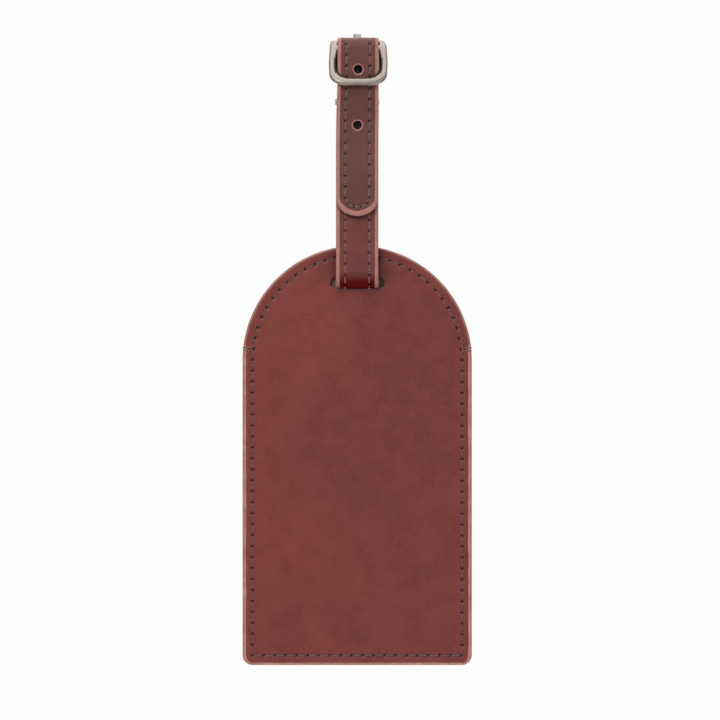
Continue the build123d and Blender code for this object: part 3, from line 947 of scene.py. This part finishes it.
def pocket_tacks():
    """Two threads wrapped over the body's edge at each end of the pocket's mouth."""
    edge = (BODY_HALF**2 - (MOUTH_Z - ARCH_Z) ** 2) ** 0.5
    places = [lambda x, y, slip, z=MOUTH_Z - d: np.stack([x, y, z + slip], axis=1) for d in (0.5, 1.35)]
    rim_y = RAISED_Y - POCKET_RISE
    wrapped_threads("pocket_tack_thread", edge, FRONT_Y, rim_y, places, SEAM_INSET, "tag", "pocket_tacks")


body_seams()
window_seam()
pocket_tacks()


# ---- painted edge of the body ----
# From the front's lap to the middle of the edge: share of the lap, share of the depth, and how proud.
PAINT_ROLL = ((1.0, 1.0, 0.015), (0.93, 1.02, 0.05), (0.7, 1.02, 0.06), (0.4, 0.96, 0.06))
PAINT_ROLL += ((0.18, 0.84, 0.06), (0.05, 0.6, 0.055), (0.0, 0.25, 0.06))


def painted_edge():
    """The paint rolled over the layers' edges: broad beside the pocket, narrower on the arch and foot."""
    base = body_outline(0)
    below = smooth_step((MOUTH_Z - base[:, 1]) / 1.4 + 0.5)
    foot = smooth_step((BOTTOM_Z + 1.5 - base[:, 1]) / 1.5)
    rear = BACK_Y + (RAISED_Y - POCKET_RISE - BACK_Y) * below
    width = (0.55 + 0.5 * below - 0.3 * foot) * (1 + 0.12 * ripple(base[:, 0], base[:, 1], 9, 41))
    insets, drops = np.array(EDGE_PROFILE).T
    middle, half = (FRONT_Y + rear) / 2, (rear - FRONT_Y) / 2
    loops = []
    for side, rolls in ((-1, PAINT_ROLL), (1, PAINT_ROLL[::-1])):
        for share, depth, proud in rolls:
            inset = share * width
            drop = np.interp(inset, insets, drops) * (FRONT_INNER_Y - FRONT_Y)
            face = half - np.minimum(drop, half * 0.75) + proud if depth > 0.7 else depth * half
            loops.append(upright(move_in(base, inset - proud * 0.8), middle + side * face))
    dark = [0.35 * (1 - below)] * len(loops) + [np.zeros(len(base))] * 2
    inside = move_in(base, np.full(len(base), 0.45))
    loops += [upright(inside, middle + depth * half) for depth in (0.7, -0.7)]
    faces = ring_faces(len(loops), len(base))
    build("edge_paint", np.vstack(loops), faces, "tag", "tag_leather", (), EDGE_PAINT, dark=dark)


def move_in(flat, inset):
    """Body outline points moved in by an amount that may vary along the outline."""
    loop = close(flat)
    way = np.gradient(np.vstack([flat[-1:], loop]), axis=0)[1:-1]
    way /= np.linalg.norm(way, axis=1)[:, None]
    return flat + np.stack([-way[:, 1], way[:, 0]], axis=1) * inset[:, None]


painted_edge()


# ---- strap ----
BORDER = 1.0  # width of the paint along the strap's face
STRAP_INSETS = (0.0, 0.02, 0.08, 0.18, 0.34, 0.56, 0.8, 1.0, 1.3, 1.7, 2.0, 2.2, 2.36, 2.48, 2.56, 2.6)
STRAP_INSETS += (2.64, 2.72, 2.84, 3.0, 3.2, 3.5, 3.9, 4.3, 4.6, 4.9, 5.15, 5.35, 5.55, 5.75, 5.9, 6.0)
STRAP_ROLL = ((0.0, 0.80), (0.02, 0.52), (0.08, 0.34), (0.18, 0.2), (0.34, 0.1), (0.56, 0.035), (0.8, 0.0))
BACK_INSETS = (STRAP_INSETS[-1], 5.4, 4.4, 3.0, 1.5, 0.0)
HOLE_REACH = STRAP_HALF - 3.4  # how far from the middle the rows spread round the holes


def strip_outline(inset, runs, length):
    """The strap's flat outline at an inset: down one side to the tip, round it and back to the square end."""
    s = np.minimum(runs, length - inset)
    x = STRAP_HALF - inset
    turn = np.linspace(0, pi, 44)[1:-1]
    square = np.linspace(-1, 1, 30)[1:-1]
    return joined(
        (s[::-1], np.full(len(s), -x)),
        (TIP_L - max(TIP_L - inset, 0.0) * np.sin(turn), -x * np.cos(turn)),
        (s, np.full(len(s), x)),
        (np.full(len(square), length - inset), -x * square),
    )


def run_places(length, holes):
    """Distances along the strap where its mesh has rows: even steps, and finer across each hole."""
    even = np.linspace(TIP_L, length, int((length - TIP_L) / 0.42))
    rows = [even[np.all([np.abs(even - centre) > r + 0.15 for centre, r, _ in holes], axis=0)]]
    for centre, r, square in holes:
        across = np.sin(np.linspace(-pi / 2, pi / 2, 61)) if square else -np.cos(np.linspace(0, pi, 25))
        rows.append(centre + r * across)
    return np.sort(np.concatenate(rows))


def hole_half(s, holes):
    """Half the width of the opening on the strap's middle line at each distance along."""
    half = np.zeros_like(s)
    for centre, r, square in holes:
        inside = np.abs(s - centre) <= r + 1e-6
        if square:
            corner = np.clip((r - np.abs(s - centre)) / 0.4, 0, 1)
            value = square * np.sqrt(1 - (1 - corner) ** 2)
        else:
            value = np.sqrt(np.maximum(r * r - (s - centre) ** 2, 0))
        half = np.where(inside, np.maximum(half, value), half)
    return half


def tail_shadow(s, x, ply):
    """Painted shadow on the front leg's face below the tail's tip, which rests on it, and painted shade
    behind the tail's lower hole.
    """
    z = np.interp(s, ply.s, ply.z)
    front = (s > ply.bend_s - (FOLD_Z - BEND_Z) - 8) & (s < ply.bend_s)
    tip = TAIL_TIP_Z + TIP_L - TIP_L * np.sqrt(np.clip(1 - (x / STRAP_HALF) ** 2, 0, 1))
    behind_hole = np.exp(-((np.hypot(x, z - FOLD_TOP_Z + HOLE_DROPS[0]) / 1.5) ** 4))
    below_tip = np.exp(-np.maximum(tip - z, 0) / 0.55) * smooth_step((z - tip + 4) / 3)
    return front * np.maximum(below_tip, 1.1 * behind_hole)


def strap_ply(name, ply, out, holes, marks, slot, node, material):
    """One ply as a closed skin: a sewn and painted face, square back, and holes with pared rims."""
    runs = run_places(ply.length, holes)
    outline = strip_outline(0.0, runs, ply.length)
    count = len(outline)
    insets, drops = np.array(STRAP_ROLL).T
    bend_from = ply.reach(BEND_Z, rising=False)
    bend_to = ply.s[np.argmax(ply.s > bend_from + pi * BEND_R * 0.45)] + 6

    def shaped(inset):
        """The outline at an inset, spread round the holes, and each point's half width of hole."""
        flat = strip_outline(inset, runs, ply.length)
        half = hole_half(flat[:, 0], holes)
        gap = STRAP_HALF - inset
        if gap < HOLE_REACH:
            side = np.sign(np.where(flat[:, 1] == 0, outline[:, 1], flat[:, 1]))
            spread = half + (HOLE_REACH - half) * gap / HOLE_REACH
            flat[:, 1] = np.where(half > 0, side * spread, flat[:, 1])
        return flat, half

    loops, dark, edge, deep = [], [], [], []
    for inset in STRAP_INSETS:
        flat, _ = shaped(inset)
        s, x = flat.T
        hole = needle_marks(flat, marks)
        pared = np.zeros(count)
        for centre, r, square in holes:
            if not square:
                pared = np.maximum(pared, 1 - (np.hypot(s - centre, x) - r) / 0.5)
        pared = np.clip(pared, 0, 1)
        dip = GROOVE_DEPTH * 0.8 * np.exp(-(((inset - STRAP_SEAM_INSET) / 0.4) ** 2))
        uneven = 0.03 * (1 + ripple(s, x, 18, 51 + out))
        lost = np.interp(inset, insets, drops) * PLY_T + 0.26 * pared**1.5
        lost += (dip + 0.34 * hole + uneven) * smooth_step(inset / 0.9)
        loops.append(ply.place(s, x, out * (PLY_T / 2 - np.minimum(lost, PLY_T * 0.85))))
        # Painted shade: needle holes darkened, and on the outer ply the painted shadow below the tail's tip
        # and the painted shade behind its hole.
        shadow = 0.85 * tail_shadow(s, x, ply) if out > 0 else 0.0
        dark.append(np.maximum(hole_core(hole), shadow))
        border = BORDER + 0.5 * smooth_step((TIP_L - s) / 3)
        painted = np.clip(0.5 + (border - inset) / 0.5, 0, 1)
        edge.append(np.maximum(painted, np.clip(pared * 2.2, 0, 1)))
        # Painted shade where the strap turns through the slot: its face deepened to dark red, away from its
        # painted border.
        near_bend = smooth_step((s - bend_from) / 3.4) * smooth_step((bend_to - s) / 4.0)
        deep.append(near_bend * (edge[-1] < 0.5))
    for inset in BACK_INSETS:
        flat, half = shaped(inset)
        loops.append(ply.place(*flat.T, np.full(count, -out * PLY_T / 2)))
        # Painted shade on the walls of the strap's holes.
        dark.append(0.6 * (half > 0) * (inset == STRAP_INSETS[-1]))
        edge.append(np.full(count, float(inset < 1)))
        deep.append(np.zeros(count))
    hollow = shaped(STRAP_INSETS[-1])[1] > 1e-6
    last = len(STRAP_INSETS) - 1

    def shut(k, i):
        """Whether the two faces meet on the middle line, away from any hole."""
        return k == last and not (hollow[i] or hollow[(i + 1) % count])

    faces = ring_faces(len(loops), count, skip=shut)
    build(name, np.vstack(loops), faces, "strap", slot, (node,), material, dark=dark, edge=edge, deep=deep)


def strap_marks(end):
    """Needle holes down one side, round the tip and back, in the strap's flat coordinates."""
    x = STRAP_HALF - STRAP_SEAM_INSET
    turn = np.linspace(0, pi, 40)
    tip_l = TIP_L - STRAP_SEAM_INSET
    s = np.concatenate([[end], TIP_L - tip_l * np.sin(turn), [end]])
    across = np.concatenate([[-x], -x * np.cos(turn), [x]])
    line = np.stack([s, across], axis=1)
    run = lengths(line)
    side = np.linspace(0, run[1], round(run[1] / STITCH_PITCH) + 1)
    round_tip = np.linspace(run[1], run[-2], round((run[-2] - run[1]) / TIP_PITCH) + 1)
    return along(line, np.concatenate([side, round_tip[1:-1], run[-1] - side[::-1]]))


def ply_place(ply, out):
    """Turns flat strap coordinates and a height above a ply's face into points."""

    def place(flat, height):
        sunk = height - STITCH_SINK * ply.turning(flat[:, 0])
        return ply.place(flat[:, 0], flat[:, 1], out * (PLY_T / 2 + sunk))

    return place


def strap():
    """Both plies and their stitches."""
    outer, lining = outer_ply(), lining_ply()
    third_z = SETTLED + FOLD_Z - (HOLE_SPACING - (FOLD_Z - FOLD_TOP_Z + HOLE_DROPS[1]) - pi * FOLD_R)
    sewn_end = outer.length - FALL_L - TURN_BACK_L - 4 * WRAP_R
    wrap_top = outer.s[np.argmax(np.where(outer.s > outer.length / 2, outer.z, -1e9))]
    ring_slot = (float(wrap_top), RING_SLOT_HALF, PRONG_RING_W / 2 + 0.3)
    plies = (
        (outer, 1, [ring_slot], sewn_end, ("strap_leather", "strap_outer_ply", STRAP_LEATHER)),
        (lining, -1, [], lining.length - 1.5, ("strap_lining", "strap_lining_ply", LINING_LEATHER)),
    )
    runs = []
    for (ply, out, more, end, look), name in zip(plies, ("strap_outer_leather", "strap_lining_leather")):
        holes = [(ply.reach(FOLD_TOP_Z - drop), HOLE_R, 0) for drop in HOLE_DROPS]
        holes += [(ply.reach(third_z, rising=False), HOLE_R, 0)] + more
        marks = strap_marks(end)
        strap_ply(name, ply, out, holes, marks, *look)
        runs += row_of_stitches(marks, ply_place(ply, out), closed=False, lift=-0.06, sink=0.4)
    sewn("strap_stitching_thread", runs, "strap", "strap_stitching", THREAD)


def strap_tacks():
    """Two threads wrapped over the rear leg where its turned-back end stops."""
    lean = radians(TOP_ANGLE)
    length = (HEEL_Z - FOLD_TOP_Z + TACK_DROP) / cos(lean)

    def at(down):
        y, z = HEEL_Y + down * sin(lean), HEEL_Z - down * cos(lean)

        def place(x, height, slip):
            across, on = height * cos(lean) + slip * sin(lean), height * sin(lean) - slip * cos(lean)
            return np.stack([x, y + across, z + on], axis=1)

        return place

    half = PLY_T + GLUE_T / 2
    places = [at(length - TACK_PITCH / 2), at(length + TACK_PITCH / 2)]
    where = (STRAP_HALF, -half, half, places, STRAP_SEAM_INSET)
    wrapped_threads("strap_tack_thread", *where, "strap", "strap_tack")


strap()
strap_tacks()


# ---- buckle ----
CAP_ROLL = [(0.22, 0.02), (0.2, 0.5), (0.13, 0.8), (0.05, 0.94), (0.0, 1.0)]  # the frame's rounded ends


def rounded(points, radii, step=0.12):
    """A polyline with each inner corner turned by an arc, as closely spaced points."""
    points = [np.array(p, float) for p in points]
    line = [points[0]]
    for before, corner, after, r in zip(points, points[1:], points[2:], radii):
        a, b = before - corner, after - corner
        a, b = a / np.linalg.norm(a), b / np.linalg.norm(b)
        half = np.arccos(np.clip(a @ b, -1, 1)) / 2
        trim = r / tan(half)
        start, end = corner + a * trim, corner + b * trim
        middle = corner + (a + b) / np.linalg.norm(a + b) * r / sin(half)
        angle0 = atan2(*(start - middle)[::-1])
        swing = (atan2(*(end - middle)[::-1]) - angle0 + pi) % (2 * pi) - pi
        for part in np.linspace(0, 1, max(int(abs(swing) * r / step), 3)):
            angle = angle0 + swing * part
            line.append(middle + r * np.array([cos(angle), sin(angle)]))
    line.append(points[-1])
    line = np.array(line)
    total = lengths(line)[-1]
    return along(line, np.linspace(0, total, int(total / step)))


def frame_section(turns, half_w, half_t, power=3.4):
    """A flattened oval section with soft shoulders."""
    c, s = np.cos(turns), np.sin(turns)
    return half_w * np.sign(c) * np.abs(c) ** (2 / power), half_t * np.sign(s) * np.abs(s) ** (2 / power)


def half_contour(points, radii, count, middle):
    """A frame contour sampled at even steps of angle about the opening's middle."""
    line = rounded(points, radii, 0.05)
    angle = np.unwrap(np.arctan2(line[:, 1] - middle, line[:, 0]))
    reach = np.hypot(line[:, 0], line[:, 1] - middle)
    order = np.argsort(angle)
    stations = np.linspace(angle[0], angle[-1], count)
    size = np.interp(stations, angle[order], reach[order])
    return np.stack([size * np.cos(stations), middle + size * np.sin(stations)], axis=1)


def buckle():
    """The frame: a barrel-sided loop, broadest at its lower corners, that turns in to the heel bar."""
    lean = atan2(HEEL_Y - FRONT_BAR_Y, HEEL_Z - FRONT_BAR_Z)
    length = hypot(HEEL_Y - FRONT_BAR_Y, HEEL_Z - FRONT_BAR_Z)
    half_strap = STRAP_HALF * (1 - PULLED_IN)
    end, inner_half = half_strap + 0.25, half_strap + 0.03
    waist, foot = 0.5 * length, length + 0.78
    count = 260

    def contour(left, radii):
        """A symmetric contour, from its left side's corners and their radii."""
        whole = left + [(-u, w) for u, w in reversed(left)]
        return half_contour(whole, radii + radii[::-1], count, -length / 2)

    lugs = [(-end, 0.85), (-7.25, 0.8), (-8.05, -1.0)]
    sides = [(-FRAME_HALF - 0.1, -waist), (-FRAME_HALF + 0.2, -foot)]
    outer = contour(lugs + sides, [1.0, 2.4, 14, 4.4])
    inner = contour([(-end, -2.75), (-inner_half, -2.75), (-inner_half, -length + 1.15)], [0.03, 3.9])
    # Where the painted shade on each side bar's inner flank begins.
    flank_shade_bound = [(-end, -2.9), (-6.62, -3.2), (-6.95, -waist), (-6.6, -length + 0.62)]
    flank_shade_line = contour(flank_shade_bound, [0.6, 14, 4.3])
    across = (outer - inner) / 2
    centre = (outer + inner) / 2
    half = np.linalg.norm(across, axis=1)
    way = across / half[:, None]
    onward = np.gradient(centre, axis=0)
    onward /= np.linalg.norm(onward, axis=1)[:, None]
    turns = np.linspace(0, 2 * pi, 44, endpoint=False)
    rows = [(0, -ahead, size) for ahead, size in CAP_ROLL]
    rows += [(i, 0.0, 1.0) for i in range(1, count - 1)]
    rows += [(count - 1, ahead, size) for ahead, size in reversed(CAP_ROLL)]
    loops, dark = [], []
    for i, ahead, size in rows:
        aside, thick = frame_section(turns, half[i] * size, FRAME_T / 2 * 0.96 * size)
        u, w = (centre[i] + onward[i] * ahead)[:, None] + way[i][:, None] * aside
        y = HEEL_Y + w * sin(lean) - thick * cos(lean)
        z = HEEL_Z + w * cos(lean) + thick * sin(lean)
        loops.append(np.stack([u + SWAY, y, z], axis=1))
        flank = hypot(*(flank_shade_line[i] - inner[i]))
        # Painted shade and painted reflection of the dark leather: the inner flank is painted near black.
        dark.append(0.97 * smooth_step((flank - (aside + half[i])) / 0.12 + 0.5) * (size > 0.9))
    n = len(turns)
    faces = ring_faces(len(loops), n, closed=False)
    faces += [tuple(range(n))[::-1], tuple(range((len(loops) - 1) * n, len(loops) * n))]
    look = ("buckle", "satin_nickel", ("buckle_frame",), NICKEL)
    build("buckle_frame_nickel", np.vstack(loops), faces, *look, dark=dark)


buckle()


# ---- CAD nodes that show ----
def finish_node(name, material, width=0.0):
    """Gives a CAD node its finish, and rolls its edges by a width."""
    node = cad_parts[name]
    node.data.materials.clear()
    node.data.materials.append(material)
    node.data.shade_smooth()
    if width:
        node.modifiers.new("weld", "WELD").merge_threshold = 0.002 * MM
        roll = node.modifiers.new("roll", "BEVEL")
        roll.width, roll.segments, roll.limit_method = width * MM, 3, "ANGLE"
        roll.angle_limit, roll.harden_normals = radians(32), True


finish_node("stiffener_board", board())
finish_node("window_pane", clear_film(), 0.05)
finish_node("address_card", card_stock(), 0.05)
finish_node("heel_bar", NICKEL, 0.08)
# The prong's nickel has painted shade below the heel bar, where it lies in the strap's hole.
shaded_prong_nickel = nickel("prong_nickel", ("7D7672", "88817D", "938C88"), HEEL_Z - 1.6)
finish_node("prong", shaded_prong_nickel, 0.15)


# ---- camera, light and floor ----
def camera():
    """A long lens square on to the tag's face."""
    height = cad_box[1].z - cad_box[0].z
    view = bpy.data.cameras.new("camera")
    view.sensor_width = 36.0
    view.lens = view.sensor_width * CAMERA_AWAY / (height * VIEW_ROOM)
    eye = placed("camera", view, (CAMERA_X, -CAMERA_AWAY, strap_high[2] * MM - height * VIEW_MIDDLE))
    eye.rotation_euler = (radians(90), 0, 0)
    bpy.context.scene.camera = eye


def soft_light(name, place, size, power, colour=(1, 1, 1)):
    """A square studio softbox aimed at the tag's middle."""
    lamp = bpy.data.lights.new(name, "AREA")
    lamp.size, lamp.energy, lamp.color = size, power, colour
    aim = Vector((0, 0, -0.06)) - Vector(place)
    placed(name, lamp, place).rotation_euler = aim.to_track_quat("-Z", "Y").to_euler()


def tent():
    """A white tent, dimmer behind the camera and below the tag, which looks plain to the camera."""
    world = bpy.data.worlds.new("studio")
    world.use_nodes = True
    bpy.context.scene.world = world
    n = Nodes(world.node_tree)
    way = n.split(n.add("ShaderNodeTexCoord").outputs["Generated"])
    depth = n.spread(way["Y"], -1.0, 0.6, 0.27, 0.62)
    height = n.spread(way["Z"], -0.8, 0.5, 0.3, 1.1)
    lit = n.fed("ShaderNodeBackground", {"Strength": n.sum(depth, height, "MULTIPLY")})
    seen = n.fed("ShaderNodeBackground", {"Color": (0.985, 0.982, 0.98, 1)})
    ray = n.add("ShaderNodeLightPath").outputs["Is Camera Ray"]
    chosen = n.fed("ShaderNodeMixShader", {0: ray, 1: lit.outputs[0], 2: seen.outputs[0]})
    n.fed("ShaderNodeOutputWorld", {"Surface": chosen.outputs[0]})


def pale_floor():
    """A round pale floor well below the tag."""
    work = bmesh.new()
    bmesh.ops.create_circle(work, cap_ends=True, segments=96, radius=0.55)
    disc = bpy.data.meshes.new("floor")
    work.to_mesh(disc)
    work.free()
    p = Paint("pale_floor")
    pale = p.ramp(p.noise(40, 2), [(0.3, "F1EFED"), (0.7, "F6F4F2")])
    disc.materials.append(p.finish(pale, 0.75))
    floor = placed("floor", disc, (0, 0, cad_box[0].z - 0.17))


camera()
tent()
soft_light("key", (-0.30, -0.55, 0.42), 0.5, 3.9, (1, 0.985, 0.97))
soft_light("fill", (0.50, -0.50, 0.10), 0.6, 1.4, (0.97, 0.985, 1))
soft_light("back", (0.1, 0.6, 0.35), 0.5, 3.0)
soft_light("top", (0.0, 0.06, 0.62), 0.4, 1.3)
pale_floor()
bpy.context.scene.view_settings.view_transform = "Standard"
